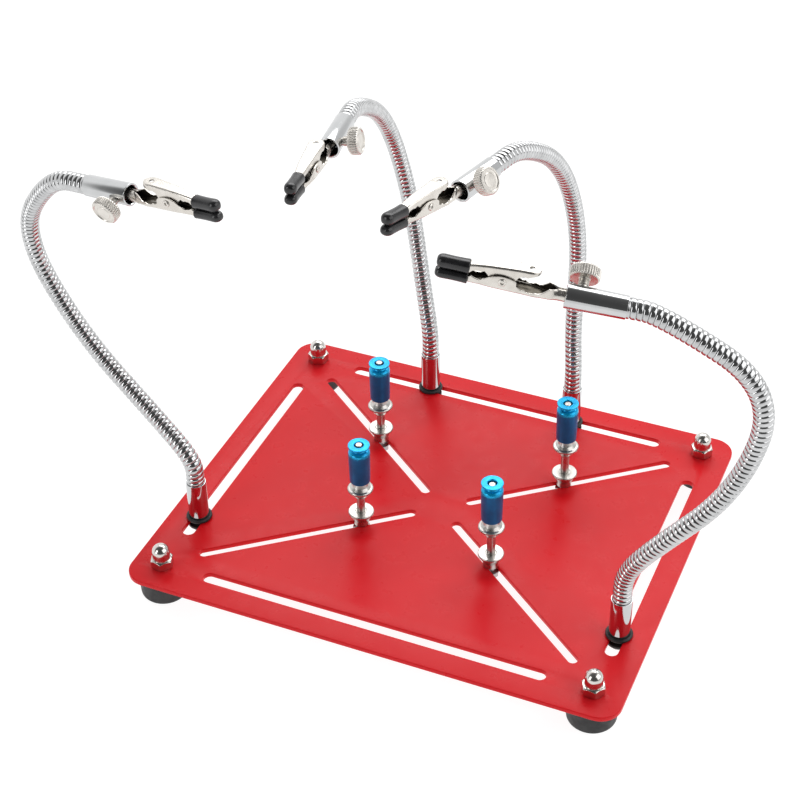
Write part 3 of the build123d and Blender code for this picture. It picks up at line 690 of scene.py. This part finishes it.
def sheet_piece(name, stations, section, thickness, mat, at, cuts=(), bevel=0.09, flip=False):
    """A bent sheet made from sections at stations along x, thickened inwards, with its edges eased."""
    verts, faces = [], []
    width = None
    for x in stations:
        half = section(x)
        line = [(-y, z) for y, z in reversed(half[1:])] + list(half)
        width = len(line)
        verts += [Vector((x, y, z)) * MM for y, z in line]
    for i in range(len(stations) - 1):
        for j in range(width - 1):
            a = i * width + j
            f = (a, a + 1, a + width + 1, a + width)
            faces.append(tuple(reversed(f)) if flip else f)
    o = mesh_obj(name, verts, faces, mat)
    # slot 1 is the painted shade; the solidify's material offset puts it on the inner shell
    o.data.materials.append(m_inside_painted_shade)
    bm = bmesh.new(); bm.from_mesh(o.data); bmesh.ops.remove_doubles(bm, verts=bm.verts, dist=1e-6); bm.to_mesh(o.data); bm.free()
    m = o.modifiers.new("thick", "SOLIDIFY")
    m.material_offset = 1
    m.thickness = thickness * MM
    m.offset = -1
    m.use_even_offset = True
    m.thickness_clamp = 0.0
    apply_mods(o)
    for kind, data in cuts:
        cutter = mesh_obj(name + "_cut", *data)
        outward(cutter)
        b = o.modifiers.new("cut", "BOOLEAN")
        b.operation = "DIFFERENCE"
        b.solver = "EXACT"
        b.object = cutter
        apply_mods(o)
        bpy.data.objects.remove(cutter)
    if bevel:
        b = o.modifiers.new("ease", "BEVEL")
        b.width = bevel * MM
        b.segments = 2
        b.limit_method = "ANGLE"
        b.angle_limit = math.radians(50)
        apply_mods(o)
    o.data.transform(Matrix.Diagonal((1, 1, 1, 1)))
    move = at.copy()
    move.translation = at.translation * MM
    o.data.transform(move)
    outward(o)
    finish_shading(o.data, True, 38)
    return o


def stations_for(tables, lo, hi, step):
    xs = {round(lo, 4), round(hi, 4)}
    for table in tables:
        xs |= {round(x, 4) for x, _ in table if lo < x < hi}
    n = int((hi - lo) / step)
    xs |= {round(lo + (hi - lo) * k / n, 4) for k in range(n + 1)}
    out = []
    for x in sorted(xs):
        if not out or x - out[-1] > 0.04:
            out.append(x)
    return out


def smoothstep(a, b, x):
    t = max(0.0, min(1.0, (x - a) / (b - a)))
    return t * t * (3 - 2 * t)


def low_section(x):
    half, zf, zw = lerp_table(x, LOW_HALF), lerp_table(x, LOW_BOTTOM), lerp_table(x, LOW_TOP)
    flat = u_section(half, zf, zw, 0.9)
    w = smoothstep(2.2, 5.6, x)
    if w >= 1:
        return flat
    n = len(flat)
    tube = []
    for k in range(n):
        a = math.radians(168) * k / (n - 1)
        tube.append((2.2 * math.sin(a), -2.2 * math.cos(a)))
    return [(ty * (1 - w) + fy * w, tz * (1 - w) + fz * w) for (ty, tz), (fy, fz) in zip(tube, flat)]


def up_section(x):
    half = math.sqrt(max(0.004, 9.0 - (x - 12.0) ** 2)) if x < 12.0 else (3.0 if x < 12.6 else lerp_table(x, [(12.6, 3.0)] + UP_HALF))
    return u_section(half, lerp_table(x, UP_TOP), lerp_table(x, UP_LOW), 0.75)


def sleeve_data(x0, x1, z0, z1, half, low, at):
    """A dipped vinyl tip: rolled mouth, soft barrel and a round end, flatter where the two tips meet. low: it is the lower one."""
    rows = []
    mid, hb = (z0 + z1) / 2, (z1 - z0) / 2
    shape = [(0.35, 0.62), (0.06, 0.74), (0.0, 0.86), (0.12, 0.97), (0.4, 1.0), (0.8, 0.985), (1.6, 0.965)]
    rows = [(x0 + a, s) for a, s in shape]
    rows += [(x0 + 1.6 + (x1 - x0 - 4.0) * k / 8, 0.965 - 0.03 * math.sin(math.pi * k / 8)) for k in range(1, 9)]
    for k in range(1, 11):
        a = math.pi / 2 * k / 10
        rows.append((x1 - 2.4 + 2.4 * math.sin(a), 0.965 * max(0.0, math.cos(a)) ** 0.62))
    rows[-1] = (x1, 0.0)
    verts, faces, n = [], [], 40
    prev = None
    for x, s in rows:
        ring = []
        if s < 1e-4:
            ring = [len(verts)]
            verts.append(Vector((x, 0, mid)))
        else:
            for j in range(n):
                a = 2 * math.pi * j / n
                c, d = math.cos(a), math.sin(a)
                e = 2.35
                q = (abs(c) ** e + abs(d) ** e) ** (-1 / e)
                yy, zz = half * s * q * c, hb * s * q * d
                inner = d > 0 if low else d < 0
                if inner:
                    zz = math.copysign(min(abs(zz), hb * s * 0.86), d) * (1 / 0.86) if abs(d) > 0.01 else zz
                ring.append(len(verts))
                verts.append(Vector((x, yy, mid + zz)))
        if prev is not None:
            for j in range(n):
                k = (j + 1) % n
                if len(ring) == 1:
                    faces.append((prev[j], prev[k], ring[0]))
                else:
                    faces.append((prev[j], prev[k], ring[k], ring[j]))
        prev = ring
    first = list(range(n))
    faces.append(tuple(reversed(first)))
    return [(at @ v) * MM for v in verts], faces


def wire_data(points, r, at, n=12):
    P = [Vector(p) for p in points]
    verts, faces = [], []
    prev_n = None
    for i, p in enumerate(P):
        tan = (P[min(i + 1, len(P) - 1)] - P[max(i - 1, 0)]).normalized()
        if prev_n is None:
            a = Vector((0, 1, 0)) if abs(tan.y) < 0.9 else Vector((1, 0, 0))
        else:
            a = prev_n
        nn = (a - tan * a.dot(tan)).normalized()
        prev_n = nn
        b = tan.cross(nn)
        for j in range(n):
            t = 2 * math.pi * j / n
            verts.append(p + (nn * math.cos(t) + b * math.sin(t)) * r)
    for i in range(len(P) - 1):
        for j in range(n):
            k = (j + 1) % n
            faces.append((i * n + j, i * n + k, (i + 1) * n + k, (i + 1) * n + j))
    faces.append(tuple(reversed(range(n))))
    faces.append(tuple(range((len(P) - 1) * n, len(P) * n)))
    return [(at @ v) * MM for v in verts], faces


for arm in ARMS:
    mouth = Vector(POINTS[arm][-1]) + Vector((0, 0, PLATE_TOP)) + Vector(CLIP_SHIFT[arm])
    at = clip_frame(mouth, CLIP_DIR[arm])
    xs = stations_for([LOW_BOTTOM, LOW_TOP, LOW_HALF], -8.0, 40.4, 0.8)
    o = sheet_piece(f"{arm}_lower_jaw_v", xs, low_section, SHEET, m_sheet, at)
    done(o, f"{arm}_clip", f"{arm}_clip_lower_jaw")
    xs = stations_for([UP_TOP, UP_LOW, UP_HALF], 9.0, 40.4, 0.8)
    xs = sorted(set(xs) | {9.0, 9.03, 9.12, 9.26, 9.46, 9.72, 10.1, 10.5, 11.1, 11.6, 12.2})
    hole = lathe_data([(0, 5.5), (0.95, 5.5), (0.95, 9.5), (0, 9.5)], 32, Matrix.Translation((12.2, 0, 0)))
    o = sheet_piece(f"{arm}_upper_jaw_v", xs, up_section, SHEET, m_sheet, at, cuts=[("pad", hole)], flip=True)
    done(o, f"{arm}_jaw", f"{arm}_clip_upper_jaw")
    # eyelet with rolled rims
    rim = rounded([(0.5, -3.55), (0.62, -3.78), (1.0, -3.80), (1.35, -3.5), (1.3, -3.34), (0.85, -3.3), (0.85, 3.3), (1.3, 3.34), (1.35, 3.5), (1.0, 3.80), (0.62, 3.78), (0.5, 3.55), (0.5, -3.55)], [0, 0.15, 0.2, 0.15, 0.05, 0, 0, 0.05, 0.15, 0.2, 0.15, 0, 0], 4)
    side = at @ Matrix.Translation((PX, 0, PZ)) @ Matrix.Rotation(math.radians(90), 4, "X")
    o = mesh_obj(f"{arm}_eyelet_v", *lathe_data(rim, 40, side), m_nickel, sharp=60)
    outward(o)
    done(o, f"{arm}_clip", ())
    # torsion spring: wound coil and two legs
    pts = [(PX - 9.2, -1.45, PZ - 1.6), (PX - 6.0, -1.48, PZ - 1.5), (PX - 2.0, -1.5, PZ - 1.46)]
    for k in range(0, 6 * 18 + 9):
        a = math.radians(-90) - 2 * math.pi * k / 18
        pts.append((PX + 1.45 * math.cos(a), -1.5 + 3.0 * k / (6 * 18 + 9), PZ + 1.45 * math.sin(a)))
    leg = [pts[-2], pts[-1], (PX - 1.0, 1.5, PZ + 1.75), (PX - 4.0, 1.48, PZ + 2.3), (PX - 7.6, 1.45, PZ + 3.0)]
    o = mesh_obj(f"{arm}_spring_leg_v", *wire_data(leg, 0.26, at), m_spring, sharp=60)
    outward(o)
    done(o, f"{arm}_jaw", ())
    o = mesh_obj(f"{arm}_spring_v", *wire_data(pts, 0.26, at), m_spring, sharp=60)
    done(o, f"{arm}_clip", ())
    o = mesh_obj(f"{arm}_lower_sleeve_v", *sleeve_data(31.6, 42.4, -2.95, 0.8, 2.4, True, at), m_vinyl, sharp=60)
    outward(o)
    done(o, f"{arm}_clip", f"{arm}_lower_tip_sleeve")
    o = mesh_obj(f"{arm}_upper_sleeve_v", *sleeve_data(31.6, 42.4, 1.1, 5.4, 2.4, False, at), m_vinyl, sharp=60)
    outward(o)
    done(o, f"{arm}_jaw", f"{arm}_upper_tip_sleeve")

# ------------------------------------------------------------------ pillars
PILLARS = {"front_left": (-25.9, -20.35, 18.2, 40.4), "back_left": (-39.7, 31.2, 18.1, 40.4), "back_right": (41.2, 32.35, 20.0, 41.6), "front_right": (30.55, -24.0, 20.0, 41.3)}
for k, (x, y, g, S) in PILLARS.items():
    at = Matrix.Translation((x, y, PLATE_TOP))
    foot = rounded([(0, 0.02), (2.85, 0.02), (3.05, 0.24), (3.05, 2.4), (3.32, 2.82), (4.72, 5.3), (5.1, 5.72), (5.1, 6.32), (4.82, 6.6), (2.34, 6.6), (2.12, 6.33), (1.7, 6.3), (1.7, S - 3.45), (1.45, S - 3.2), (1.3, S - 3.2), (1.3, S - 0.16), (1.12, S), (0, S)],
                   [0, 0.1, 0.12, 0.4, 0.5, 0.3, 0.2, 0.2, 0.22, 0.12, 0.08, 0.06, 0.2, 0.1, 0.05, 0.08, 0.08, 0], 4)
    o = mesh_obj(f"{k}_post_v", *lathe_data(foot, 80, at), m_post, sharp=50)
    outward(o)
    done(o, f"{k}_post", f"{k}_pillar_post")
    under = refined(f"{k}_pillar_post", f"{k}_post_under_v", 0.08, m_steel)
    bm = bmesh.new(); bm.from_mesh(under.data)
    gone = [v for v in bm.verts if v.co.z > (PLATE_TOP - 0.3) * MM]
    bmesh.ops.delete(bm, geom=gone, context="VERTS")
    bm.to_mesh(under.data); bm.free()
    done(under, f"{k}_post", ())
    fl = rounded([(1.78, g - 4.2), (2.05, g - 4.2), (2.28, g - 4.0), (4.72, g - 0.86), (5.1, g - 0.45), (5.1, g + 0.15), (4.78, g + 0.48), (4.1, g + 0.6), (3.7, g + 1.0), (3.1, g + 1.55), (2.75, g + 2.4), (2.3, g + 3.6), (2.3, g + 4.0)], [0, 0.1, 0.15, 0.3, 0.2, 0.2, 0.2, 0.15, 0.3, 0.5, 0.6, 0.6, 0], 5)
    o = mesh_obj(f"{k}_flange_v", *lathe_data(fl, 80, at), m_post, sharp=50)
    outward(o)
    done(o, f"{k}_grip", f"{k}_grip_flange")
    s, e = g + 4.0, g + 22.0
    body = rounded([(1.78, s), (3.75, s), (4.05, s + 0.3), (4.26, e - 5.6), (4.30, e - 5.1), (4.3, e - 4.35)], [0, 0.2, 0.25, 0, 0.2, 0], 4)
    top = rounded([(4.3, e - 4.35), (4.3, e - 3.95), (4.22, e - 3.3), (3.98, e - 2.87), (3.5, e - 2.52), (2.85, e - 2.25), (2.62, e - 1.95), (2.66, e - 1.35), (3.0, e - 1.04), (4.12, e - 0.64), (4.3, e - 0.5), (4.3, e - 0.14), (4.16, e), (2.02, e), (1.8, e - 0.3), (1.78, e - 3.0)],
                  [0, 0.2, 0.3, 0.3, 0.3, 0.2, 0.2, 0.2, 0.2, 0.1, 0.1, 0.1, 0.1, 0.08, 0.1, 0], 4)
    vb, fb = lathe_data(body, 96, at)
    vt, ft = lathe_data(top, 96, at)
    v, f = join_data([(vb, fb), (vt, ft)])
    o = mesh_obj(f"{k}_sleeve_v", v, f, m_blue, sharp=60)
    o.data.materials.append(m_cyan)
    for i, p in enumerate(o.data.polygons):
        p.material_index = 0 if i < len(fb) else 1
    bm = bmesh.new(); bm.from_mesh(o.data); bmesh.ops.remove_doubles(bm, verts=bm.verts, dist=1e-6); bmesh.ops.recalc_face_normals(bm, faces=bm.faces); bm.to_mesh(o.data); bm.free()
    finish_shading(o.data, True, 50)
    done(o, f"{k}_grip", f"{k}_grip_sleeve")

# ------------------------------------------------------------------ floor, light, camera
floor = mesh_obj("floor", [(-3, -3, 0), (3, -3, 0), (3, 3, 0), (-3, 3, 0)], [(0, 1, 2, 3)])
m_floor_glow, nt, bsdf = material("floor_paper_glow", (0.22, 0.22, 0.22), 0.0, 0.85, spec=0.03)
bsdf.inputs["Emission Color"].default_value = (1, 1, 1, 1)
# painted light: the floor glows, 0.93 round the object and dimmer (0.78) in a band a little in front of it
tc = nt.nodes.new("ShaderNodeTexCoord")
dot = nt.nodes.new("ShaderNodeVectorMath")
dot.operation = "DOT_PRODUCT"
dot.inputs[1].default_value = (0.375, -0.927, 0.0)
nt.links.new(tc.outputs["Object"], dot.inputs[0])
mr = nt.nodes.new("ShaderNodeMapRange")
mr.interpolation_type = "SMOOTHSTEP"
mr.inputs["From Min"].default_value = 0.34
mr.inputs["From Max"].default_value = 0.52
mr.inputs["To Min"].default_value = 0.93
mr.inputs["To Max"].default_value = 0.78
nt.links.new(dot.outputs["Value"], mr.inputs["Value"])
nt.links.new(mr.outputs["Result"], bsdf.inputs["Emission Strength"])
floor.data.materials.append(m_floor_glow)

world = bpy.data.worlds.new("studio")
scene.world = world
world.use_nodes = True
nt = world.node_tree
bg = nt.nodes["Background"]
tc = nt.nodes.new("ShaderNodeTexCoord")
# pale tent behind and beside the object, dim room in front and overhead
dot = nt.nodes.new("ShaderNodeVectorMath")
dot.operation = "DOT_PRODUCT"
dot.inputs[1].default_value = (0.307, -0.759, 0.574)
nt.links.new(tc.outputs["Generated"], dot.inputs[0])
mr = nt.nodes.new("ShaderNodeMapRange")
mr.inputs["From Min"].default_value = -1.0
mr.inputs["From Max"].default_value = 1.0
nt.links.new(dot.outputs["Value"], mr.inputs["Value"])
r = nt.nodes.new("ShaderNodeValToRGB")
els = r.color_ramp.elements
els[0].position, els[0].color = 0.0, (1.0, 1.0, 1.0, 1)
els[1].position, els[1].color = 1.0, (0.07, 0.07, 0.07, 1)
for pos, v in ((0.53, 1.0), (0.58, 0.82), (0.635, 0.3), (0.70, 0.12)):
    e = els.new(pos)
    e.color = (v, v, v, 1)
nt.links.new(mr.outputs["Result"], r.inputs["Fac"])
# the tent's right back corner is a shade greyer
dot2 = nt.nodes.new("ShaderNodeVectorMath")
dot2.operation = "DOT_PRODUCT"
dot2.inputs[1].default_value = (0.629, 0.698, 0.342)
nt.links.new(tc.outputs["Generated"], dot2.inputs[0])
mr2 = nt.nodes.new("ShaderNodeMapRange")
mr2.interpolation_type = "SMOOTHSTEP"
mr2.inputs["From Min"].default_value = 0.77
mr2.inputs["From Max"].default_value = 0.94
mr2.inputs["To Min"].default_value = 1.15
mr2.inputs["To Max"].default_value = 0.80
nt.links.new(dot2.outputs["Value"], mr2.inputs["Value"])
nt.links.new(r.outputs["Color"], bg.inputs["Color"])
nt.links.new(mr2.outputs["Result"], bg.inputs["Strength"])


def area(name, az, el, dist, size, level, color=(1, 1, 1)):
    """A soft box in the direction az, el (degrees, az from +Y towards +X), as bright as level."""
    l = bpy.data.lights.new(name, "AREA")
    l.shape = "RECTANGLE"
    l.size, l.size_y = size
    l.energy = level * math.pi * size[0] * size[1]
    l.color = color
    o = link(bpy.data.objects.new(name, l))
    a, e = math.radians(az), math.radians(el)
    loc = Vector((math.sin(a) * math.cos(e), math.cos(a) * math.cos(e), math.sin(e))) * dist
    o.location = loc
    o.rotation_euler = (Vector((0, 0, 0.06)) - loc).to_track_quat("-Z", "Y").to_euler()
    return o


area("left_box", -147, 22, 1.4, (0.45, 1.0), 3.0)
area("right_box", 92, 35, 1.2, (1.1, 1.05), 1.8)
area("back_box", -5, 52, 1.5, (1.5, 0.7), 3.2)

cam_data = bpy.data.cameras.new("camera")
cam = link(bpy.data.objects.new("camera", cam_data))
cam_data.sensor_width = 36.0
cam_data.lens = 80.968
right = Vector((0.9205058, 0.3904229, -0.0154621))
down = Vector((0.2291027, -0.5713689, -0.7880670))
ahead = Vector((-0.3165139, 0.7218778, -0.6153953))
m = Matrix((right, -down, -ahead)).transposed().to_4x4()
m.translation = Vector((0.2047087, -0.5057874, 0.4811393 + 0.013))
cam.matrix_world = m
scene.camera = cam
scene.view_settings.view_transform = "Standard"
